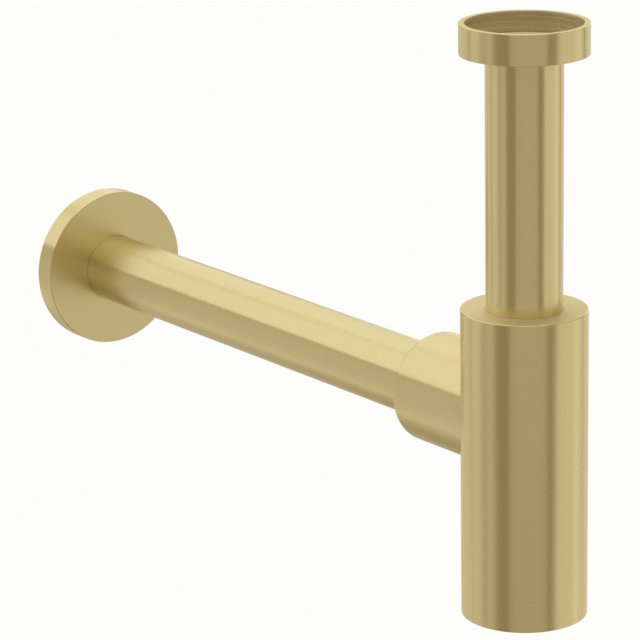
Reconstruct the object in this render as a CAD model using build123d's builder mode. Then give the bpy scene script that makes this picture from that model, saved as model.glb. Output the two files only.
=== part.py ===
# Round bottle trap for a sink, in brass: an inlet nut, a dip tube, a bottle with a screw-on cap
# and a cleaning plug, and an outlet pipe with a wall flange.
# Millimetres, +Z up, +Y towards the wall. The origin is on the inlet axis, at the face of the
# washer that the sink's waste lands on.

import os

from build123d import *

os.makedirs("parts", exist_ok=True)

# Tube used for both the inlet and the outlet
tube_diameter = 32.0
tube_wall = 1.0

# Inlet nut, with a 1 1/2 inch pipe thread drawn as a plain wall at its major diameter
thread_diameter = 47.8
nut_wall = 2.75
nut_height = 12.8
nut_web = 1.8
thread_relief = 0.35
mouth_lead = 0.45

# Washer, and the collar brazed on the tube's top end that it seals against
washer_in_thread = 0.5
washer_past_bore = 0.5
washer_thickness = 1.5
collar_in_thread = 1.9
collar_thickness = 1.0

# Bottle
tube_in_view = 106.55
body_diameter = 53.0
body_height = 132.7
body_wall = 1.5
shoulder_thickness = 3.0
water_seal = 50.0

# Outlet
outlet_drop = 47.45
outlet_reach = 58.1
outlet_wall = 2.0
outlet_nut_wall = 3.0
outlet_nut_length = 22.1
pipe_insertion = 22.0
wall_distance = 320.0
pipe_past_wall = 22.0
depth_mark_from_end = 20.0
depth_mark_width = 0.8
depth_mark_depth = 0.25

# Wall flange
flange_diameter = 74.8
flange_thickness = 10.6
flange_plate = 2.0
flange_rim = 1.5
hub_wall = 4.0
hub_length = 8.0
grip_width = 3.0
grip_depth = 2.2
grip_setback = 3.0

# Glands: one screw-on nut, slip ring and tapered seal for each end of the bottle
cap_height = 12.0
cap_wall = 3.4
gland_web = 2.5
slip_thickness = 1.0
seal_wall = 3.0
seal_height = 6.0
seal_straight = 3.0
seal_nose_wall = 1.5
neck_gap = 0.7
outlet_neck_wall = 1.8
ledge_thickness = 2.5

# Base plug
base_wall = 3.9
plug_wall = 4.5
plug_height = 8.0
plug_floor = 3.5
lip_overhang = 1.65
lip_height = 2.2
groove_width = 2.2
o_ring_section = 1.7
base_ring_height = 10.0
coin_slot_length = 28.0
coin_slot_width = 3.0
coin_slot_depth = 1.6

# Clearances on radii, and edge sizes
tube_in_seal = 0.05
tube_in_slip_ring = 0.15
tube_in_web = 0.2
tube_in_ledge = 0.3
screw_clearance = 0.1
seal_clearance = 0.1
o_ring_clearance = 0.05
lip_clearance = 0.15
fine_edge = 0.15
soft_edge = 0.4
round_edge = 0.9
tube_edge = 0.3

# Levels down the inlet axis
tube_radius = tube_diameter / 2
bore_radius = tube_radius - tube_wall
collar_top = -washer_thickness
collar_bottom = collar_top - collar_thickness
nut_bottom = collar_bottom - nut_web
nut_top = nut_bottom + nut_height
body_top = nut_bottom - tube_in_view
body_bottom = body_top - body_height
outlet_level = body_top - outlet_drop
dip_end = outlet_level - bore_radius - water_seal

# Places along the outlet axis
outlet_seam = outlet_reach - outlet_nut_length
pipe_start = outlet_reach - pipe_insertion
pipe_end = wall_distance + pipe_past_wall
flange_front = wall_distance - flange_thickness

# Depths into a gland, measured from the outer face of its nut
slip_depth = gland_web + slip_thickness
neck_depth = gland_web + neck_gap
seat_top_depth = slip_depth + seal_straight + seal_clearance
seat_bottom_depth = slip_depth + seal_height + seal_clearance
ledge_depth = seat_bottom_depth + ledge_thickness
shoulder_depth = cap_height + shoulder_thickness

# Radii shared by both glands
seal_radius = tube_radius + seal_wall
seal_nose_radius = tube_radius + seal_nose_wall
neck_bore_radius = seal_radius + seal_clearance
seat_nose_radius = seal_nose_radius + seal_clearance
ledge_radius = tube_radius + tube_in_ledge
web_radius = tube_radius + tube_in_web

# Radii of the inlet nut
thread_radius = thread_diameter / 2
relief_radius = thread_radius + thread_relief
nut_radius = thread_radius + nut_wall
collar_radius = thread_radius - collar_in_thread

# Radii of the bottle, of its cap and of its plug
body_radius = body_diameter / 2
chamber_radius = body_radius - body_wall
cap_bore_radius = body_radius - cap_wall
cap_neck_radius = cap_bore_radius - screw_clearance
plug_bore_radius = body_radius - base_wall
plug_radius = plug_bore_radius - screw_clearance
plug_recess_radius = plug_radius - plug_wall
lip_radius = plug_bore_radius + lip_overhang
lip_bore_radius = lip_radius + lip_clearance

# Radii of the outlet
outlet_neck_radius = neck_bore_radius + outlet_neck_wall
outlet_bore_radius = outlet_neck_radius + screw_clearance
outlet_radius = outlet_bore_radius + outlet_nut_wall
outlet_chamber_radius = outlet_radius - outlet_wall

# The two axes, and the planes that outlines of (radius, distance along the axis) are drawn on
inlet_plane = Plane.XZ
inlet_axis = Axis.Z
outlet_plane = Plane.XY.offset(outlet_level)
outlet_axis = Axis((0, 0, outlet_level), (0, 1, 0))


def turned(outline, plane, axis, mode=Mode.ADD):
    """Turn a closed outline of (radius, distance) points about an axis, in the current part."""
    with BuildSketch(plane, mode=Mode.PRIVATE) as profile:
        with BuildLine():
            Polyline(*outline, close=True)
        make_face()
    revolve(profile.sketch, axis=axis, mode=mode)


def rectangle(inner, outer, low, high):
    """Outline of a plain ring."""
    return [(inner, low), (outer, low), (outer, high), (inner, high)]


def end_circle(part, axis, end, radius):
    """The circle edge of a given radius at one end of a turned piece, end being 0 or -1."""
    circles = part.edges().filter_by(GeomType.CIRCLE).group_by(axis)[end]
    return circles.filter_by(lambda edge: abs(edge.radius - radius) < fine_edge / 2)


def gland_nut(outer_radius, bore, length, face):
    """Outline of a gland nut whose outer face is at a given distance along the axis."""
    return [
        (web_radius, face),
        (outer_radius, face),
        (outer_radius, face - length),
        (bore, face - length),
        (bore, face - gland_web),
        (web_radius, face - gland_web),
    ]


def gland_seat(face):
    """Outline points of a gland's seat, from the mouth of the neck down to below the ledge."""
    return [
        (neck_bore_radius, face - neck_depth),
        (neck_bore_radius, face - seat_top_depth),
        (seat_nose_radius, face - seat_bottom_depth),
        (ledge_radius, face - seat_bottom_depth),
    ]


# Inlet nut: a cup with a web under the tube's collar and a relief groove below the thread
with BuildPart() as inlet_nut:
    nut_outline = [
        (web_radius, nut_bottom),
        (nut_radius, nut_bottom),
        (nut_radius, nut_top),
        (thread_radius + mouth_lead, nut_top),
        (thread_radius, nut_top - mouth_lead),
        (thread_radius, 0),
        (relief_radius, 0),
        (relief_radius, collar_bottom),
        (web_radius, collar_bottom),
    ]
    turned(nut_outline, inlet_plane, inlet_axis)
    chamfer(end_circle(inlet_nut.part, inlet_axis, -1, nut_radius), fine_edge)
    chamfer(end_circle(inlet_nut.part, inlet_axis, 0, nut_radius), fine_edge)
inlet_nut.part.label = "inlet_nut"
export_step(inlet_nut.part, "parts/inlet_nut.step")

# Washer under the sink's waste
with BuildPart() as inlet_washer:
    washer_bore = bore_radius + washer_past_bore
    washer_radius = thread_radius - washer_in_thread
    turned(rectangle(washer_bore, washer_radius, collar_top, 0), inlet_plane, inlet_axis)
inlet_washer.part.label = "inlet_washer"
export_step(inlet_washer.part, "parts/inlet_washer.step")

# Inlet tube, which runs on below the water line as the dip tube
with BuildPart() as inlet_tube:
    turned(rectangle(bore_radius, tube_radius, dip_end, collar_top), inlet_plane, inlet_axis)
    fillet(end_circle(inlet_tube.part, inlet_axis, -1, bore_radius), tube_edge)
    chamfer(end_circle(inlet_tube.part, inlet_axis, 0, tube_radius), tube_edge)
inlet_tube.part.label = "inlet_tube"
export_step(inlet_tube.part, "parts/inlet_tube.step")

# Collar round the tube's top end, which the nut pulls up against the washer
with BuildPart() as inlet_collar:
    turned(rectangle(tube_radius, collar_radius, collar_bottom, collar_top), inlet_plane, inlet_axis)
inlet_collar.part.label = "inlet_collar"
export_step(inlet_collar.part, "parts/inlet_collar.step")

# Cap nut: the flat top of the bottle
with BuildPart() as cap_nut:
    cap_outline = gland_nut(body_radius, cap_bore_radius, cap_height, body_top)
    turned(cap_outline, inlet_plane, inlet_axis)
    chamfer(end_circle(cap_nut.part, inlet_axis, -1, body_radius), soft_edge)
    chamfer(end_circle(cap_nut.part, inlet_axis, 0, body_radius), fine_edge)
cap_nut.part.label = "cap_nut"
export_step(cap_nut.part, "parts/cap_nut.step")

# Outlet nut: the rounded end of the side outlet
with BuildPart() as outlet_nut:
    outlet_nut_outline = gland_nut(outlet_radius, outlet_bore_radius, outlet_nut_length, outlet_reach)
    turned(outlet_nut_outline, outlet_plane, outlet_axis)
    fillet(end_circle(outlet_nut.part, outlet_axis, -1, outlet_radius), round_edge)
    chamfer(end_circle(outlet_nut.part, outlet_axis, 0, outlet_radius), fine_edge)
outlet_nut.part.label = "outlet_nut"
export_step(outlet_nut.part, "parts/outlet_nut.step")

# Slip ring and tapered seal inside each gland
glands = [("cap", inlet_plane, inlet_axis, body_top), ("outlet", outlet_plane, outlet_axis, outlet_reach)]
for gland, plane, axis, face in glands:
    with BuildPart() as slip_ring:
        ring_bore = tube_radius + tube_in_slip_ring
        turned(rectangle(ring_bore, seal_radius, face - slip_depth, face - gland_web), plane, axis)
    slip_ring.part.label = f"{gland}_slip_ring"
    export_step(slip_ring.part, f"parts/{gland}_slip_ring.step")

    with BuildPart() as seal:
        seal_bore = tube_radius + tube_in_seal
        seal_outline = [
            (seal_bore, face - slip_depth),
            (seal_radius, face - slip_depth),
            (seal_radius, face - slip_depth - seal_straight),
            (seal_nose_radius, face - slip_depth - seal_height),
            (seal_bore, face - slip_depth - seal_height),
        ]
        turned(seal_outline, plane, axis)
    seal.part.label = f"{gland}_seal"
    export_step(seal.part, f"parts/{gland}_seal.step")

# Bottle: the outside of the body and of its outlet boss, then everything hollow inside them
with BuildPart() as bottle:
    body_outside = [
        (0, body_top - neck_depth),
        (cap_neck_radius, body_top - neck_depth),
        (cap_neck_radius, body_top - cap_height),
        (body_radius - fine_edge, body_top - cap_height),
        (body_radius, body_top - cap_height - fine_edge),
        (body_radius, body_bottom + fine_edge),
        (body_radius - fine_edge, body_bottom),
        (0, body_bottom),
    ]
    turned(body_outside, inlet_plane, inlet_axis)
    outlet_outside = [
        (0, 0),
        (outlet_radius, 0),
        (outlet_radius, outlet_seam - fine_edge),
        (outlet_radius - fine_edge, outlet_seam),
        (outlet_neck_radius, outlet_seam),
        (outlet_neck_radius, outlet_reach - neck_depth),
        (0, outlet_reach - neck_depth),
    ]
    turned(outlet_outside, outlet_plane, outlet_axis)
    base_ring_top = body_bottom + base_ring_height
    base_slope = chamber_radius - plug_bore_radius
    body_inside = [
        (0, body_top - neck_depth),
        *gland_seat(body_top),
        (ledge_radius, body_top - shoulder_depth),
        (chamber_radius, body_top - shoulder_depth),
        (chamber_radius, base_ring_top + base_slope),
        (plug_bore_radius, base_ring_top),
        (plug_bore_radius, body_bottom + lip_height),
        (lip_bore_radius, body_bottom + lip_height),
        (lip_bore_radius, body_bottom),
        (0, body_bottom),
    ]
    turned(body_inside, inlet_plane, inlet_axis, Mode.SUBTRACT)
    outlet_inside = [
        (0, outlet_reach - neck_depth),
        *gland_seat(outlet_reach),
        (ledge_radius, outlet_reach - ledge_depth),
        (seat_nose_radius, outlet_reach - ledge_depth),
        (seat_nose_radius, outlet_seam - outlet_wall),
        (outlet_chamber_radius, outlet_seam - outlet_wall),
        (outlet_chamber_radius, 0),
        (0, 0),
    ]
    turned(outlet_inside, outlet_plane, outlet_axis, Mode.SUBTRACT)
bottle.part.label = "bottle"
export_step(bottle.part, "parts/bottle.step")

# Base plug: a lip flush with the bottle's bottom, a groove for its seal and a coin slot
groove_radius = plug_bore_radius - o_ring_section - 2 * o_ring_clearance
groove_top = body_bottom + lip_height + groove_width
plug_top = body_bottom + plug_height
with BuildPart() as base_plug:
    plug_outline = [
        (0, body_bottom),
        (lip_radius, body_bottom),
        (lip_radius, body_bottom + lip_height),
        (groove_radius, body_bottom + lip_height),
        (groove_radius, groove_top),
        (plug_radius, groove_top),
        (plug_radius, plug_top),
        (plug_recess_radius, plug_top),
        (plug_recess_radius, body_bottom + plug_floor),
        (0, body_bottom + plug_floor),
    ]
    turned(plug_outline, inlet_plane, inlet_axis)
    chamfer(end_circle(base_plug.part, inlet_axis, 0, lip_radius), fine_edge)
    with BuildSketch(Plane.XY.offset(body_bottom)):
        SlotOverall(coin_slot_length, coin_slot_width)
    extrude(amount=coin_slot_depth, mode=Mode.SUBTRACT)
base_plug.part.label = "base_plug"
export_step(base_plug.part, "parts/base_plug.step")

# Ring seal in the plug's groove
with BuildPart() as base_o_ring:
    section_radius = o_ring_section / 2
    section_centre = (groove_radius + o_ring_clearance + section_radius, groove_top - groove_width / 2)
    with BuildSketch(inlet_plane):
        with Locations(section_centre):
            Circle(section_radius)
    revolve(axis=inlet_axis)
base_o_ring.part.label = "base_o_ring"
export_step(base_o_ring.part, "parts/base_o_ring.step")

# Outlet pipe, with a fine ring near its wall end that marks how far it pushes in
with BuildPart() as outlet_pipe:
    turned(rectangle(bore_radius, tube_radius, pipe_start, pipe_end), outlet_plane, outlet_axis)
    mark_start = pipe_end - depth_mark_from_end - depth_mark_width
    mark_floor = tube_radius - depth_mark_depth
    mark = rectangle(mark_floor, tube_radius, mark_start, mark_start + depth_mark_width)
    turned(mark, outlet_plane, outlet_axis, Mode.SUBTRACT)
    chamfer(end_circle(outlet_pipe.part, outlet_axis, -1, tube_radius), tube_edge)
    chamfer(end_circle(outlet_pipe.part, outlet_axis, 0, tube_radius), tube_edge)
outlet_pipe.part.label = "outlet_pipe"
export_step(outlet_pipe.part, "parts/outlet_pipe.step")

# Wall flange: a dished cover with a hub that carries the grip ring
flange_radius = flange_diameter / 2
hub_radius = web_radius + hub_wall
grip_radius = tube_radius + grip_depth
grip_start = flange_front + grip_setback
with BuildPart() as wall_flange:
    flange_outline = [
        (web_radius, flange_front),
        (flange_radius, flange_front),
        (flange_radius, wall_distance),
        (flange_radius - flange_rim, wall_distance),
        (flange_radius - flange_rim, flange_front + flange_plate),
        (hub_radius, flange_front + flange_plate),
        (hub_radius, flange_front + hub_length),
        (web_radius, flange_front + hub_length),
        (web_radius, grip_start + grip_width + seal_clearance),
        (grip_radius + seal_clearance, grip_start + grip_width + seal_clearance),
        (grip_radius + seal_clearance, grip_start - seal_clearance),
        (web_radius, grip_start - seal_clearance),
    ]
    turned(flange_outline, outlet_plane, outlet_axis)
    chamfer(end_circle(wall_flange.part, outlet_axis, 0, flange_radius), soft_edge)
wall_flange.part.label = "wall_flange"
export_step(wall_flange.part, "parts/wall_flange.step")

# Rubber ring that holds the flange where it is pushed
with BuildPart() as flange_grip_ring:
    grip_bore = tube_radius + tube_in_seal
    turned(rectangle(grip_bore, grip_radius, grip_start, grip_start + grip_width), outlet_plane, outlet_axis)
flange_grip_ring.part.label = "flange_grip_ring"
export_step(flange_grip_ring.part, "parts/flange_grip_ring.step")
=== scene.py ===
"""A round bottle trap in brushed brass, dressed for a studio picture.

The trap hangs from its inlet nut, and its outlet pipe runs along +Y to the wall flange.
Lengths are metres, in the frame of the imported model.
"""

import math

import bmesh
import bpy
from mathutils import Matrix, Vector


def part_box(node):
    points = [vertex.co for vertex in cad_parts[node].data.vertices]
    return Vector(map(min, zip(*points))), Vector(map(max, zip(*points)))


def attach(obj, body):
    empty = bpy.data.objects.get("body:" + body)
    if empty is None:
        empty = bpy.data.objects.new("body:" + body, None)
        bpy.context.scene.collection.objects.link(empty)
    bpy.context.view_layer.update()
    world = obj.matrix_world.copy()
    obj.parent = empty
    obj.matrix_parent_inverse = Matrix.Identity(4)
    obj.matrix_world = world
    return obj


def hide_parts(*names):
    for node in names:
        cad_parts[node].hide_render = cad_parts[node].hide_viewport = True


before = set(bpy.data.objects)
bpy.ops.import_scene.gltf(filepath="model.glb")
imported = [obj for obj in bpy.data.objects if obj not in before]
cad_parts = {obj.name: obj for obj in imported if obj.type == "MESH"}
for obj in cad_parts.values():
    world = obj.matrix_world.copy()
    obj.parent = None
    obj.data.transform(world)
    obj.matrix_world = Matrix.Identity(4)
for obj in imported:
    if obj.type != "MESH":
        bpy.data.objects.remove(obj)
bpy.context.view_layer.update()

MM = 0.001
# How far a spin of many small steps may stray: points closer than this are one, and the widest rim
# is kept back by it
spin_drift = 0.001 * MM
# How far a point may lie off a circle and still count as on it
circle_slack = 0.02 * MM

# Places and radii read from the frame
nut_low, nut_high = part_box("inlet_nut")
washer_low, washer_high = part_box("inlet_washer")
collar_low, collar_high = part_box("inlet_collar")
tube_low, tube_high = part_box("inlet_tube")
cap_low, cap_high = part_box("cap_nut")
bottle_low, bottle_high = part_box("bottle")
plug_low, plug_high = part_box("base_plug")
o_ring_low, o_ring_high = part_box("base_o_ring")
outlet_nut_low, outlet_nut_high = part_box("outlet_nut")
pipe_low, pipe_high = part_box("outlet_pipe")
flange_low, flange_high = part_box("wall_flange")
grip_low, grip_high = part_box("flange_grip_ring")
cap_seal_low, cap_seal_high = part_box("cap_seal")
cap_slip_low, cap_slip_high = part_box("cap_slip_ring")
outlet_seal_low, outlet_seal_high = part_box("outlet_seal")
outlet_slip_low, outlet_slip_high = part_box("outlet_slip_ring")

tube_radius = tube_high.x
nut_radius = nut_high.x
washer_radius = washer_high.x
collar_radius = collar_high.x
body_radius = bottle_high.x
outlet_radius = outlet_nut_high.x
flange_radius = flange_high.x - spin_drift
seal_radius = cap_seal_high.x
lip_radius = plug_high.x
outlet_level = (pipe_low.z + pipe_high.z) / 2

# Walls, gaps and edges that the frame's boxes don't show
tube_wall = 1.0 * MM
web_gap = 0.06 * MM
nut_wall = 2.75 * MM
thread_relief = 0.35 * MM
mouth_lead = 0.4 * MM
mouth_lead_depth = 1.2 * MM
washer_past_bore = 0.5 * MM
body_wall = 1.5 * MM
cap_wall = 3.4 * MM
outlet_wall = 2.0 * MM
outlet_nut_wall = 3.0 * MM
gland_web = 2.5 * MM
neck_gap = 0.7 * MM
screw_gap = 0.1 * MM
seal_gap = 0.1 * MM
seal_straight = 3.0 * MM
seal_fit = 0.02 * MM
seal_nose_wall = 1.5 * MM
ledge_gap = 0.3 * MM
ledge_thickness = 2.5 * MM
shoulder_thickness = 3.0 * MM
base_wall = 3.9 * MM
base_ring_height = 10.0 * MM
lip_height = 2.2 * MM
lip_gap = 0.15 * MM
o_ring_section = 1.7 * MM
o_ring_gap = 0.05 * MM
o_ring_groove = 2.2 * MM
plug_wall = 4.5 * MM
plug_floor = 3.5 * MM
coin_slot = Vector((28.0, 3.0, 1.6)) * MM
slot_end_flat = 0.015 * MM
depth_mark_from_end = 20.0 * MM
depth_mark_width = 0.8 * MM
depth_mark_depth = 0.25 * MM
flange_plate = 2.0 * MM
flange_rim = 1.5 * MM
hub_wall = 4.0 * MM
hub_length = 8.0 * MM
fine_edge = 0.15 * MM
tube_edge = 0.3 * MM
soft_edge = 0.4 * MM
round_edge = 0.9 * MM

# Room for the cuts: how far a hollow reaches past the end that it opens, and how far the loops round
# the bottle stay from its outlet boss
cut_past = 1.0 * MM
boss_margin = 2.0 * MM

# Screw threads: the sink's 1 1/2 inch pipe thread in the nut, rolled shallow so that the wall looks
# almost smooth, and a fine one on the glands and the plug. A ridge's half widths are shares of its pitch.
# The last four values are turns, left off so that a ridge stays clear of the ends of its wall
pipe_thread_pitch = 2.309 * MM
pipe_thread_depth = 0.1 * MM
fine_thread_pitch = 1.5 * MM
fine_thread_depth = 0.75 * MM
ridge_root_half = 0.44
ridge_crest_half = 0.07
pipe_thread_left_off = 1
gland_thread_left_off = 2
plug_thread_lead_in = 0.9
plug_thread_run_out = 0.6

web_radius = tube_radius + web_gap
bore_radius = tube_radius - tube_wall
thread_radius = nut_radius - nut_wall
neck_bore = seal_radius + seal_gap
seat_nose = tube_radius + seal_nose_wall + seal_gap
ledge_radius = tube_radius + ledge_gap
cap_bore = body_radius - cap_wall
cap_neck = cap_bore - screw_gap
outlet_bore = outlet_radius - outlet_nut_wall
outlet_neck = outlet_bore - screw_gap
chamber_radius = body_radius - body_wall
plug_bore = body_radius - base_wall
plug_radius = plug_bore - screw_gap

# How finely round pieces are turned and edges rounded, and which corners count as sharp
ROUND_STEPS = 256
THREAD_STEPS = 96
EDGE_STEPS = 4
SLOT_END_STEPS = 12
O_RING_STEPS = 24
SHARP_ANGLE = math.radians(32)
FLAT_END = math.cos(math.radians(5))


def linear(hex_colour):
    """sRGB hex to the linear colour that sockets take."""
    channels = [int(hex_colour[i:i + 2], 16) / 255 for i in (1, 3, 5)]
    return [c / 12.92 if c <= 0.04045 else ((c + 0.055) / 1.055) ** 2.4 for c in channels] + [1.0]


def add_node(tree, kind, settings=None, values=None, links=None):
    """Add a node, set its properties and socket values, and link its inputs."""
    node = tree.nodes.new(kind)
    for name, value in (settings or {}).items():
        setattr(node, name, value)
    for socket, value in (values or {}).items():
        node.inputs[socket].default_value = value
    for socket, source in (links or {}).items():
        tree.links.new(source, node.inputs[socket])
    return node


def new_material(name):
    """An empty node material and its tree."""
    material = bpy.data.materials.new(name)
    material.use_nodes = True
    material.node_tree.nodes.clear()
    return material, material.node_tree


def brass_finish(name, dark, light, roughness, smear=0.0):
    """A worked brass surface: two close tones in fine strokes round the axis, smeared across them."""
    material, tree = new_material(name)
    # Real strokes are about a tenth as wide, and are drawn coarser here so that they show
    stroke_length = 14 * MM
    stroke_width = 0.5 * MM
    # The part of its range that the noise mostly keeps to
    grain_low, grain_high = 0.3, 0.7
    # A quarter turn lays the smear across the strokes
    across_strokes = 0.25
    uv = add_node(tree, "ShaderNodeUVMap", {"uv_map": "brushing"})
    strokes = add_node(tree, "ShaderNodeMapping",
                       values={"Scale": (1 / stroke_length, 1 / stroke_width, 1)},
                       links={"Vector": uv.outputs["UV"]})
    grain = add_node(tree, "ShaderNodeTexNoise", {"noise_dimensions": "2D"},
                     {"Scale": 1.0, "Detail": 3.0, "Roughness": 0.6}, {"Vector": strokes.outputs["Vector"]})
    gloss = add_node(tree, "ShaderNodeMapRange",
                     values={"From Min": grain_low, "From Max": grain_high,
                             "To Min": roughness[0], "To Max": roughness[1]},
                     links={"Value": grain.outputs["Fac"]})
    tone = add_node(tree, "ShaderNodeMix", {"data_type": "RGBA"}, links={"Factor": grain.outputs["Fac"]})
    tone.inputs["A"].default_value = linear(dark)
    tone.inputs["B"].default_value = linear(light)
    tangent = add_node(tree, "ShaderNodeTangent", {"direction_type": "UV_MAP", "uv_map": "brushing"})
    shader = add_node(tree, "ShaderNodeBsdfPrincipled",
                      values={"Metallic": 1.0, "Anisotropic": smear,
                              "Anisotropic Rotation": across_strokes},
                      links={"Base Color": tone.outputs["Result"], "Roughness": gloss.outputs["Result"],
                             "Tangent": tangent.outputs["Tangent"]})
    add_node(tree, "ShaderNodeOutputMaterial", links={"Surface": shader.outputs["BSDF"]})
    return material


def speckled(name, dark, light, speck_size, roughness):
    """A moulded matt finish: two close tones in soft specks, with the gloss varying along with them."""
    material, tree = new_material(name)
    bump_strength = 0.15
    bump_height = 0.05 * MM
    place = add_node(tree, "ShaderNodeTexCoord")
    specks = add_node(tree, "ShaderNodeTexNoise", values={"Scale": 1 / speck_size, "Detail": 4.0},
                      links={"Vector": place.outputs["Object"]})
    tone = add_node(tree, "ShaderNodeMix", {"data_type": "RGBA"}, links={"Factor": specks.outputs["Fac"]})
    tone.inputs["A"].default_value = linear(dark)
    tone.inputs["B"].default_value = linear(light)
    gloss = add_node(tree, "ShaderNodeMapRange", values={"To Min": roughness[0], "To Max": roughness[1]},
                     links={"Value": specks.outputs["Fac"]})
    grain = add_node(tree, "ShaderNodeBump", values={"Strength": bump_strength, "Distance": bump_height},
                     links={"Height": specks.outputs["Fac"]})
    shader = add_node(tree, "ShaderNodeBsdfPrincipled",
                      links={"Base Color": tone.outputs["Result"], "Roughness": gloss.outputs["Result"],
                             "Normal": grain.outputs["Normal"]})
    add_node(tree, "ShaderNodeOutputMaterial", links={"Surface": shader.outputs["BSDF"]})
    return material


# Brass brushed round its axis under a satin lacquer: crisp bands of light, drawn out along the tube
brushed = brass_finish("brushed_brass", "#E9DDB1", "#EDE1B7", roughness=(0.23, 0.28), smear=0.78)
# Brass ends faced flat and rubbed every way: the same colour with soft, even reflections
faced = brass_finish("faced_brass", "#E6DBAE", "#EADEB4", roughness=(0.3, 0.36))
# Bare brass inside, as it left the lathe, which makes it duller; its darker, greyer tone is painted shade
# for the hollows that it lines
bare_with_painted_shade = brass_finish("bare_brass_with_painted_shade", "#D6CBAD", "#DBD0B2", roughness=(0.5, 0.58))
# Brass ends rubbed dull, on the cap's top and the nut's rim: paler, with light spread wide over them
rubbed = brass_finish("rubbed_brass", "#E7DDB9", "#EBE1BE", roughness=(0.62, 0.68))
# Each set goes in the order of worked_side: outside, ends, and inside, where the darker tone is painted
# shade
brass = (brushed, faced, bare_with_painted_shade)
dull_ended_brass = (brushed, rubbed, bare_with_painted_shade)
# Moulded nitrile rubber: near black, dull, with a faint bloom in patches, drawn coarser than it is to show
rubber = (speckled("black_nitrile_rubber", "#191918", "#242422", 0.8 * MM, roughness=(0.6, 0.75)),)
# Moulded natural polythene: creamy white with a waxy sheen, its mottling drawn coarser than it is to show
polythene = (speckled("natural_polythene", "#F1E4B4", "#F6EAC2", 1.5 * MM, roughness=(0.35, 0.5)),)


def upright(radius, distance):
    """A point of an outline on the inlet axis."""
    return Vector((radius, 0, distance))


def level(radius, distance):
    """A point of an outline on the outlet axis."""
    return Vector((radius, distance, outlet_level))


AXES = {
    upright: (Vector((0, 0, 0)), Vector((0, 0, 1)), Vector((1, 0, 0))),
    level: (Vector((0, 0, outlet_level)), Vector((0, 1, 0)), Vector((1, 0, 0))),
}


def turn(outline, place=upright):
    """Turn a closed outline of (radius, distance) points about an axis into a closed mesh."""
    centre, axis, _ = AXES[place]
    bm = bmesh.new()
    corners = [bm.verts.new(place(radius, distance)) for radius, distance in outline]
    edges = [bm.edges.new(pair) for pair in zip(corners, corners[1:] + corners[:1])]
    bmesh.ops.spin(bm, geom=corners + edges, cent=centre, axis=axis, angle=2 * math.pi, steps=ROUND_STEPS,
                   use_merge=True)
    bmesh.ops.remove_doubles(bm, verts=bm.verts, dist=spin_drift)
    bmesh.ops.dissolve_degenerate(bm, edges=bm.edges, dist=spin_drift)
    bmesh.ops.recalc_face_normals(bm, faces=bm.faces)
    return bm


def thread_ridge(root, crest, start, turns, pitch, place=upright):
    """A screw thread's ridge, from a root radius to a crest radius, winding along an axis."""
    centre, axis, _ = AXES[place]
    root_half = ridge_root_half * pitch
    crest_half = ridge_crest_half * pitch
    section = [(root, -root_half), (root, root_half), (crest, crest_half), (crest, -crest_half)]
    bm = bmesh.new()
    corners = [bm.verts.new(place(radius, start + offset)) for radius, offset in section]
    face = bm.faces.new(corners)
    bmesh.ops.spin(bm, geom=[face, *face.edges, *corners], cent=centre, axis=axis,
                   dvec=axis * pitch / THREAD_STEPS, angle=2 * math.pi * turns,
                   steps=round(THREAD_STEPS * turns))
    bmesh.ops.remove_doubles(bm, verts=bm.verts, dist=spin_drift)
    bmesh.ops.recalc_face_normals(bm, faces=bm.faces)
    return bm


def ring(inner, outer, low, high):
    """Outline of a plain ring."""
    return [(inner, low), (outer, low), (outer, high), (inner, high)]


def sharp_edges(bm):
    """Edges where two faces meet at a clear corner."""
    return [edge for edge in bm.edges if edge.is_manifold and edge.calc_face_angle() > SHARP_ANGLE]


def circle_edges(bm, place, radius, distance):
    """Circle edges of a turned mesh at a given radius and distance along its axis."""
    centre, axis, _ = AXES[place]

    def on_circle(vert):
        offset = vert.co - centre
        along = offset.dot(axis)
        off_radius = (offset - along * axis).length - radius
        return abs(along - distance) < circle_slack and abs(off_radius) < circle_slack

    return [edge for edge in bm.edges if all(on_circle(vert) for vert in edge.verts)]


def soften(bm, edges, size, segments=EDGE_STEPS):
    """Round a set of edges."""
    bmesh.ops.bevel(bm, geom=edges, offset=size, affect="EDGES", segments=segments, profile=0.5,
                    material=-1)


def mesh_object(name, bm):
    """A mesh object in the scene from a bmesh, which is used up."""
    mesh = bpy.data.meshes.new(name)
    bm.to_mesh(mesh)
    bm.free()
    made = bpy.data.objects.new(name, mesh)
    bpy.context.scene.collection.objects.link(made)
    return made


def joined(bm, tool, operation):
    """The exact union or difference of two closed meshes, which are used up."""
    base = mesh_object("base", bm)
    other = mesh_object("tool", tool)
    modifier = base.modifiers.new("join", "BOOLEAN")
    modifier.object = other
    modifier.operation = operation
    modifier.solver = "EXACT"
    bpy.context.view_layer.update()
    made = base.evaluated_get(bpy.context.evaluated_depsgraph_get())
    result = bmesh.new()
    result.from_mesh(made.to_mesh())
    made.to_mesh_clear()
    for spent in (base, other):
        bpy.data.meshes.remove(spent.data)
    return result


def unwrap_round(bm, place_of):
    """Lay a UV map in metres: u runs round the axis that place_of names for a face, v along its outline."""
    uv = bm.loops.layers.uv.new("brushing")
    for face in bm.faces:
        centre, axis, across = AXES[place_of(face)]
        around = axis.cross(across)
        middle = face.calc_center_median() - centre
        middle_angle = math.atan2(middle.dot(around), middle.dot(across))
        middle_radius = math.hypot(middle.dot(around), middle.dot(across))
        for loop in face.loops:
            offset = loop.vert.co - centre
            angle = math.atan2(offset.dot(around), offset.dot(across))
            past_middle = (angle - middle_angle + math.pi) % (2 * math.pi) - math.pi
            radius = math.hypot(offset.dot(around), offset.dot(across))
            loop[uv].uv = ((middle_angle + past_middle) * middle_radius, offset.dot(axis) + radius)


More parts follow.
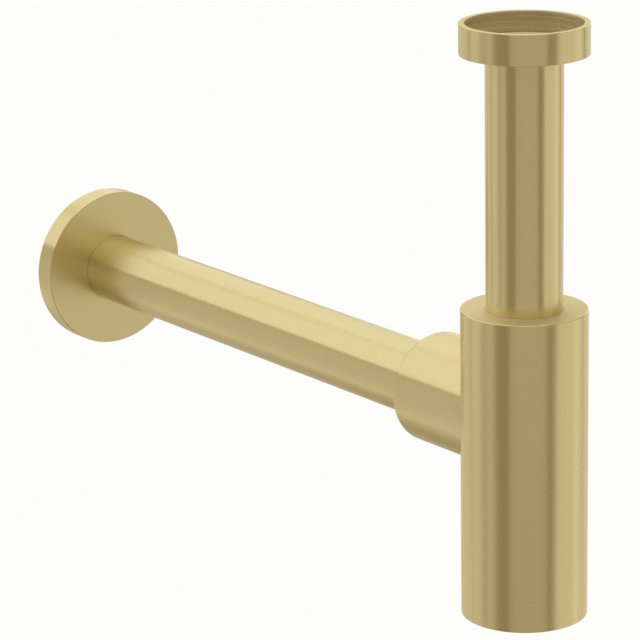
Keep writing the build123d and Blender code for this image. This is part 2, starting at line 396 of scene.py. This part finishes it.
def worked_side(face, place):
    """How a face was worked: 0 brushed on the outside, 1 faced flat on an end, 2 left as turned on the
    inside, where a darker, greyer tone paints shade.
    """
    centre, axis, _ = AXES[place]
    if abs(face.normal.dot(axis)) > FLAT_END:
        return 1
    offset = face.calc_center_median() - centre
    outward = offset - offset.dot(axis) * axis
    return 2 if face.normal.dot(outward) < 0 else 0


def finish_piece(name, bm, materials, body, nodes, place_of):
    """Make a shaded piece that rides on a body and stands for CAD nodes."""
    unwrap_round(bm, place_of)
    for face in bm.faces:
        face.smooth = True
        face.material_index = worked_side(face, place_of(face)) if len(materials) > 1 else 0
    for edge in sharp_edges(bm):
        edge.smooth = False
    piece = mesh_object(name, bm)
    for material in materials:
        piece.data.materials.append(material)
    normals = piece.modifiers.new("even_normals", "WEIGHTED_NORMAL")
    normals.mode = "FACE_AREA"
    normals.keep_sharp = True
    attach(piece, body)
    if nodes:
        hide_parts(*nodes)


def brass_piece(name, bm, body, *nodes, place=upright, finishes=brass):
    """A brass piece, turned about one axis."""
    finish_piece(name, bm, finishes, body, nodes, lambda face: place)


def rubber_piece(name, bm, body, *nodes, place=upright):
    """A rubber seal or grip."""
    finish_piece(name, bm, rubber, body, nodes, lambda face: place)


def plastic_piece(name, bm, body, *nodes, place=upright):
    """A polythene ring or washer."""
    finish_piece(name, bm, polythene, body, nodes, lambda face: place)


# Inlet nut: a cup with a web under the tube's collar, threaded inside
nut = turn([
    (web_radius, nut_low.z),
    (nut_radius, nut_low.z),
    (nut_radius, nut_high.z),
    (thread_radius + mouth_lead, nut_high.z),
    (thread_radius, nut_high.z - mouth_lead_depth),
    (thread_radius, washer_high.z),
    (thread_radius + thread_relief, washer_high.z),
    (thread_radius + thread_relief, collar_low.z),
    (web_radius, collar_low.z),
])
for nut_end in (nut_low.z, nut_high.z):
    soften(nut, circle_edges(nut, upright, nut_radius, nut_end), fine_edge)
brass_piece("nut_cup", nut, "inlet_nut", "inlet_nut", finishes=dull_ended_brass)
nut_thread_start = washer_high.z + pipe_thread_pitch / 2
nut_thread_length = nut_high.z - mouth_lead_depth - washer_high.z
nut_thread_turns = nut_thread_length / pipe_thread_pitch - pipe_thread_left_off
nut_thread = thread_ridge(thread_radius + fine_edge, thread_radius - pipe_thread_depth,
                          nut_thread_start, nut_thread_turns, pipe_thread_pitch)
brass_piece("nut_thread", nut_thread, "inlet_nut")

# Washer under the sink's waste, and the tube with the collar that the nut pulls up against it
washer = turn(ring(bore_radius + washer_past_bore, washer_radius, washer_low.z, washer_high.z))
soften(washer, sharp_edges(washer), tube_edge)
plastic_piece("flat_washer", washer, "washer", "inlet_washer")
tube = turn(ring(bore_radius, tube_radius, tube_low.z, tube_high.z))
soften(tube, sharp_edges(tube), tube_edge)
brass_piece("dip_tube", tube, "inlet_tube", "inlet_tube")
collar = turn(ring(tube_radius, collar_radius, collar_low.z, collar_high.z))
soften(collar, circle_edges(collar, upright, collar_radius, collar_low.z), tube_edge)
brass_piece("tube_collar", collar, "inlet_tube", "inlet_collar")


def gland_nut(outer_radius, bore, face, seam, edge, place):
    """A gland nut with a rounded outer corner."""
    bm = turn([
        (web_radius, face),
        (outer_radius, face),
        (outer_radius, seam),
        (bore, seam),
        (bore, face - gland_web),
        (web_radius, face - gland_web),
    ], place)
    soften(bm, circle_edges(bm, place, outer_radius, face), edge)
    return bm


# Cap nut and outlet nut
brass_piece("bottle_cap", gland_nut(body_radius, cap_bore, cap_high.z, cap_low.z, soft_edge, upright),
            "cap_nut", "cap_nut", finishes=dull_ended_brass)
brass_piece("outlet_gland_nut",
            gland_nut(outlet_radius, outlet_bore, outlet_nut_high.y, outlet_nut_low.y, round_edge, level),
            "outlet_nut", "outlet_nut", place=level)


def tapered_seal(low, high):
    """Outline of a gland's seal, straight on top and tapered to its nose."""
    lip = tube_radius + seal_fit
    nose = tube_radius + seal_nose_wall
    return [
        (lip, high),
        (seal_radius, high),
        (seal_radius, high - seal_straight),
        (nose, low),
        (lip, low),
    ]


# Slip ring and seal in each gland
cap_slip, cap_cone = (cap_slip_low.z, cap_slip_high.z), (cap_seal_low.z, cap_seal_high.z)
outlet_slip, outlet_cone = (outlet_slip_low.y, outlet_slip_high.y), (outlet_seal_low.y, outlet_seal_high.y)
for name, place, slip, seal in (("cap", upright, cap_slip, cap_cone),
                                ("outlet", level, outlet_slip, outlet_cone)):
    slip_ring = turn(ring(web_radius, seal_radius, *slip), place)
    soften(slip_ring, sharp_edges(slip_ring), fine_edge)
    plastic_piece(f"{name}_sliding_ring", slip_ring, f"{name}_slip_ring", f"{name}_slip_ring", place=place)
    cone = turn(tapered_seal(*seal), place)
    soften(cone, sharp_edges(cone), tube_edge)
    rubber_piece(f"{name}_cone_seal", cone, f"{name}_seal", f"{name}_seal", place=place)


def gland_seat(face):
    """Outline points of a gland's seat, from the top of its cone down to its ledge."""
    slip_face = face - gland_web - (cap_slip_high.z - cap_slip_low.z)
    seat_top = slip_face - seal_straight - seal_gap
    seat_bottom = slip_face - (cap_seal_high.z - cap_seal_low.z) - seal_gap
    return [(neck_bore, seat_top), (seat_nose, seat_bottom), (ledge_radius, seat_bottom)]


# Bottle: the body and its outlet boss as one shell, hollow inside, with a threaded neck at each end
cap_mouth = cap_high.z - gland_web - neck_gap
outlet_mouth = outlet_nut_high.y - gland_web - neck_gap
base_ring_top = bottle_low.z + base_ring_height
outside = turn([
    (0, cap_mouth),
    (cap_neck - fine_thread_depth, cap_mouth),
    (cap_neck - fine_thread_depth, cap_low.z),
    (body_radius, cap_low.z),
    (body_radius, bottle_low.z),
    (0, bottle_low.z),
])
soften(outside, circle_edges(outside, upright, body_radius, bottle_low.z), fine_edge)
for loop_level in (outlet_level + outlet_radius + boss_margin, outlet_level - outlet_radius - boss_margin):
    bmesh.ops.bisect_plane(outside, geom=[*outside.verts, *outside.edges, *outside.faces],
                           plane_co=(0, 0, loop_level), plane_no=(0, 0, 1))
boss = turn([
    (0, 0),
    (outlet_radius, 0),
    (outlet_radius, outlet_nut_low.y),
    (outlet_neck - fine_thread_depth, outlet_nut_low.y),
    (outlet_neck - fine_thread_depth, outlet_mouth),
    (0, outlet_mouth),
], level)
body_hollow = turn([
    (0, cap_mouth + cut_past),
    (neck_bore, cap_mouth + cut_past),
    *gland_seat(cap_high.z),
    (ledge_radius, cap_low.z - shoulder_thickness),
    (chamber_radius, cap_low.z - shoulder_thickness),
    (chamber_radius, base_ring_top + chamber_radius - plug_bore),
    (plug_bore, base_ring_top),
    (plug_bore, bottle_low.z + lip_height),
    (lip_radius + lip_gap, bottle_low.z + lip_height),
    (lip_radius + lip_gap, bottle_low.z - cut_past),
    (0, bottle_low.z - cut_past),
])
outlet_ledge_low = gland_seat(outlet_nut_high.y)[-1][1] - ledge_thickness
inside_bottle = body_radius / 2
outlet_hollow = turn([
    (0, outlet_mouth + cut_past),
    (neck_bore, outlet_mouth + cut_past),
    *gland_seat(outlet_nut_high.y),
    (ledge_radius, outlet_ledge_low),
    (seat_nose, outlet_ledge_low),
    (seat_nose, outlet_nut_low.y - outlet_wall),
    (outlet_radius - outlet_wall, outlet_nut_low.y - outlet_wall),
    (outlet_radius - outlet_wall, inside_bottle),
    (0, inside_bottle),
], level)
whole = joined(outside, boss, "UNION")
hollow = joined(body_hollow, outlet_hollow, "UNION")
shell = joined(whole, hollow, "DIFFERENCE")


def bottle_place(face):
    """The axis that a face of the bottle was turned about."""
    middle = face.calc_center_median()
    return level if middle.y > 0 and math.hypot(middle.x, middle.y) > body_radius else upright


finish_piece("bottle_shell", shell, brass, "bottle", ["bottle"], bottle_place)
threaded_necks = (("neck_thread", cap_neck, cap_low.z, cap_mouth, upright),
                  ("outlet_thread", outlet_neck, outlet_nut_low.y, outlet_mouth, level))
for name, neck, seam, mouth, place in threaded_necks:
    turns = (mouth - seam) / fine_thread_pitch - gland_thread_left_off
    ridge = thread_ridge(neck - fine_thread_depth - fine_edge, neck, seam + fine_thread_pitch, turns,
                         fine_thread_pitch, place)
    brass_piece(name, ridge, "bottle", place=place)

# Base plug: a lip flush with the bottom, a groove for its seal, a thread and a coin slot
groove_radius = plug_bore - o_ring_section - 2 * o_ring_gap
groove_top = bottle_low.z + lip_height + o_ring_groove
plug = turn([
    (0, plug_low.z),
    (lip_radius, plug_low.z),
    (lip_radius, plug_low.z + lip_height),
    (groove_radius, plug_low.z + lip_height),
    (groove_radius, groove_top),
    (plug_radius, groove_top),
    (plug_radius - fine_thread_depth, groove_top + fine_thread_depth),
    (plug_radius - fine_thread_depth, plug_high.z),
    (plug_radius - plug_wall, plug_high.z),
    (plug_radius - plug_wall, plug_low.z + plug_floor),
    (0, plug_low.z + plug_floor),
])
soften(plug, circle_edges(plug, upright, lip_radius, plug_low.z), fine_edge)
slot_cutter = bmesh.new()
bmesh.ops.create_cube(slot_cutter, size=1.0, matrix=Matrix.Translation((0, 0, plug_low.z))
                      @ Matrix.Diagonal((coin_slot.x, coin_slot.y, 2 * coin_slot.z, 1)))
upright_edges = [edge for edge in slot_cutter.edges
                 if abs(edge.verts[0].co.z - edge.verts[1].co.z) > coin_slot.z]
soften(slot_cutter, upright_edges, coin_slot.y / 2 - slot_end_flat, segments=SLOT_END_STEPS)
brass_piece("cleaning_plug", joined(plug, slot_cutter, "DIFFERENCE"), "base_plug", "base_plug")
plug_thread_start = groove_top + fine_thread_pitch * plug_thread_lead_in
plug_thread_turns = (plug_high.z - plug_thread_start) / fine_thread_pitch - plug_thread_run_out
plug_thread = thread_ridge(plug_radius - fine_thread_depth - fine_edge, plug_radius,
                           plug_thread_start, plug_thread_turns, fine_thread_pitch)
brass_piece("plug_thread", plug_thread, "base_plug")
o_ring = bmesh.new()
section_radius = (o_ring_high.z - o_ring_low.z) / 2
section_centre = upright(o_ring_high.x - section_radius, (o_ring_low.z + o_ring_high.z) / 2)
bmesh.ops.create_circle(o_ring, segments=O_RING_STEPS, radius=section_radius,
                        matrix=Matrix.Translation(section_centre) @ Matrix.Rotation(math.pi / 2, 4, "X"))
bmesh.ops.spin(o_ring, geom=[*o_ring.verts, *o_ring.edges], axis=(0, 0, 1), angle=2 * math.pi,
               steps=ROUND_STEPS, use_merge=True)
bmesh.ops.recalc_face_normals(o_ring, faces=o_ring.faces)
rubber_piece("plug_o_ring", o_ring, "base_o_ring", "base_o_ring")

# Outlet pipe, with the fine ring that marks how far it pushes into the wall
mark_start = pipe_high.y - depth_mark_from_end - depth_mark_width
mark_floor = tube_radius - depth_mark_depth
pipe = turn([
    (bore_radius, pipe_low.y),
    (tube_radius, pipe_low.y),
    (tube_radius, mark_start),
    (mark_floor, mark_start),
    (mark_floor, mark_start + depth_mark_width),
    (tube_radius, mark_start + depth_mark_width),
    (tube_radius, pipe_high.y),
    (bore_radius, pipe_high.y),
], level)
for pipe_end in (pipe_low.y, pipe_high.y):
    soften(pipe, circle_edges(pipe, level, tube_radius, pipe_end), tube_edge)
brass_piece("wall_pipe", pipe, "outlet_pipe", "outlet_pipe", place=level)

# Wall flange: a dished cover with a hub that carries the grip ring
hub_radius = web_radius + hub_wall
dish_radius = flange_radius - flange_rim
dish_floor = flange_low.y + flange_plate
grip_groove = grip_high.x + seal_gap
flange = turn([
    (web_radius, flange_low.y),
    (flange_radius, flange_low.y),
    (flange_radius, flange_high.y),
    (dish_radius, flange_high.y),
    (dish_radius, dish_floor),
    (hub_radius, dish_floor),
    (hub_radius, flange_low.y + hub_length),
    (web_radius, flange_low.y + hub_length),
    (web_radius, grip_high.y + seal_gap),
    (grip_groove, grip_high.y + seal_gap),
    (grip_groove, grip_low.y - seal_gap),
    (web_radius, grip_low.y - seal_gap),
], level)
soften(flange, circle_edges(flange, level, flange_radius, flange_low.y), soft_edge)
soften(flange, circle_edges(flange, level, flange_radius, flange_high.y), fine_edge)
soften(flange, circle_edges(flange, level, dish_radius, dish_floor), soft_edge)
brass_piece("flange_cover", flange, "flange", "wall_flange", place=level)
grip = turn(ring(tube_radius + o_ring_gap, grip_high.x, grip_low.y, grip_high.y), level)
soften(grip, sharp_edges(grip), soft_edge)
rubber_piece("grip_ring", grip, "flange", "flange_grip_ring", place=level)

# Floor, well below the hanging trap, and a round backdrop behind it, both lit to a plain white
floor_drop = 2.0
floor_size = 40.0
backdrop_radius = 15.0
backdrop_fineness = 3
white, white_tree = new_material("lit_white_backdrop")
glow = add_node(white_tree, "ShaderNodeEmission", values={"Color": linear("#FDFDFC"), "Strength": 1.0})
add_node(white_tree, "ShaderNodeOutputMaterial", links={"Surface": glow.outputs["Emission"]})
floor_mesh = bmesh.new()
bmesh.ops.create_grid(floor_mesh, x_segments=1, y_segments=1, size=floor_size,
                      matrix=Matrix.Translation((0, 0, bottle_low.z - floor_drop)))
floor = mesh_object("floor", floor_mesh)
backdrop_mesh = bmesh.new()
bmesh.ops.create_icosphere(backdrop_mesh, subdivisions=backdrop_fineness, radius=backdrop_radius)
backdrop = mesh_object("backdrop", backdrop_mesh)
backdrop.visible_shadow = False
for surround in (floor, backdrop):
    surround.data.materials.append(white)
    surround.visible_glossy = False
    surround.visible_diffuse = False

# Camera, from a fit to the photograph's outlines
IMAGE_WIDTH = 640
focal_pixels = 3273.6
camera_place = Vector((-0.83505, -0.99136, 0.26204))
camera_yaw = math.radians(-36.389)
camera_pitch = math.radians(-16.227)
camera_roll = math.radians(-1.023)
lens = bpy.data.cameras.new("camera")
lens.sensor_width = 36.0
lens.lens = lens.sensor_width * focal_pixels / IMAGE_WIDTH
lens.clip_end = 100.0
camera = bpy.data.objects.new("camera", lens)
camera.matrix_world = (Matrix.Translation(camera_place)
                       @ Matrix.Rotation(camera_yaw, 4, "Z")
                       @ Matrix.Rotation(math.pi / 2 + camera_pitch, 4, "X")
                       @ Matrix.Rotation(camera_roll, 4, "Z"))
bpy.context.scene.collection.objects.link(camera)
bpy.context.scene.camera = camera
bpy.context.scene.view_settings.view_transform = "Standard"

# Studio: a dim warm room with soft panels all round the trap, whose centre they face
room_colour = linear("#988B6D")
panel_colour = linear("#FEFFF3")[:3]
stage_centre = Vector((0, 0.06, -0.14))
wall_distance = 6.0
overhead_height = 4.0
top_light_size = 3.0
room = bpy.data.worlds.new("room")
room.use_nodes = True
room.node_tree.nodes["Background"].inputs["Color"].default_value = room_colour
bpy.context.scene.world = room


def soft_panel(name, place, facing, up, width, height, radiance):
    """A soft panel of an even brightness, turned towards a point and unseen by the camera."""
    light = bpy.data.lights.new(name, "AREA")
    light.shape = "RECTANGLE"
    light.size = width
    light.size_y = height
    light.energy = radiance * math.pi * width * height
    light.color = panel_colour
    panel = bpy.data.objects.new(name, light)
    back = (place - facing).normalized()
    side = up.cross(back).normalized()
    turned = Matrix((side, back.cross(side), back)).transposed().to_4x4()
    panel.matrix_world = Matrix.Translation(place) @ turned
    panel.visible_camera = False
    bpy.context.scene.collection.objects.link(panel)


def wall_panel(name, bearings, heights, radiance):
    """A panel beside the trap, in degrees: bearings count from the camera, positive to its right."""
    bearing = math.radians(sum(bearings) / 2) + camera_yaw
    height = math.radians(sum(heights) / 2)
    away = Vector((math.sin(bearing) * math.cos(height),
                   -math.cos(bearing) * math.cos(height),
                   math.sin(height)))
    half_angle = math.radians(bearings[1] - bearings[0]) / 2
    half_rise = math.radians(heights[1] - heights[0]) / 2
    width = 2 * wall_distance * math.tan(half_angle) * math.cos(height)
    tall = 2 * wall_distance * math.tan(half_rise)
    soft_panel(name, stage_centre + away * wall_distance, stage_centre, Vector((0, 0, 1)), width, tall,
               radiance)


def overhead_panel(name, angles, reach, radiance):
    """A panel above the pipe. Angles go round the pipe, from +X over the top, and reach is along it."""
    angle = math.radians(sum(angles) / 2)
    beside = Vector((math.cos(angle), 0, math.sin(angle)))
    foot = Vector((0, sum(reach) / 2, outlet_level))
    width = 2 * overhead_height * math.tan(math.radians(angles[1] - angles[0]) / 2)
    soft_panel(name, foot + beside * overhead_height, foot, Vector((0, 1, 0)), width, reach[1] - reach[0],
               radiance)


# Walls, by bearings, heights and brightness: the gaps between the panels draw the dark bands down the tube
# and the bottle
wall_panel("front_fill", (-29, 37), (-28, 4), 0.2)
wall_panel("right_side", (52.5, 125), (-60, 4), 0.37)
wall_panel("right_strip", (95, 112), (-60, 4), 0.109)
wall_panel("right_back", (125, 180), (-60, 14), 0.396)
wall_panel("left_side", (-120, -55), (-60, 14), 0.159)
wall_panel("left_edge", (-73, -61), (-60, 4), 0.079)
wall_panel("left_strip", (-113, -87), (-60, 14), 0.167)
wall_panel("left_back", (-180, -119), (-41, 14), 0.336)
# Overhead, by angles, reach and brightness: two long panels light the pipe's upper side, with a thin dark
# line between them. The front one lights the pipe's end by way of the flange, and the top one level faces
overhead_panel("overhead_left", (94, 157), (0.5, 9.5), 0.662)
overhead_panel("overhead_right", (5, 92), (0.5, 9.5), 0.617)
overhead_panel("overhead_front", (20, 150), (-8.0, -3.0), 0.46)
soft_panel("top_light", stage_centre + Vector((0, 0, overhead_height)), stage_centre, Vector((0, 1, 0)),
           top_light_size, top_light_size, 1.142)
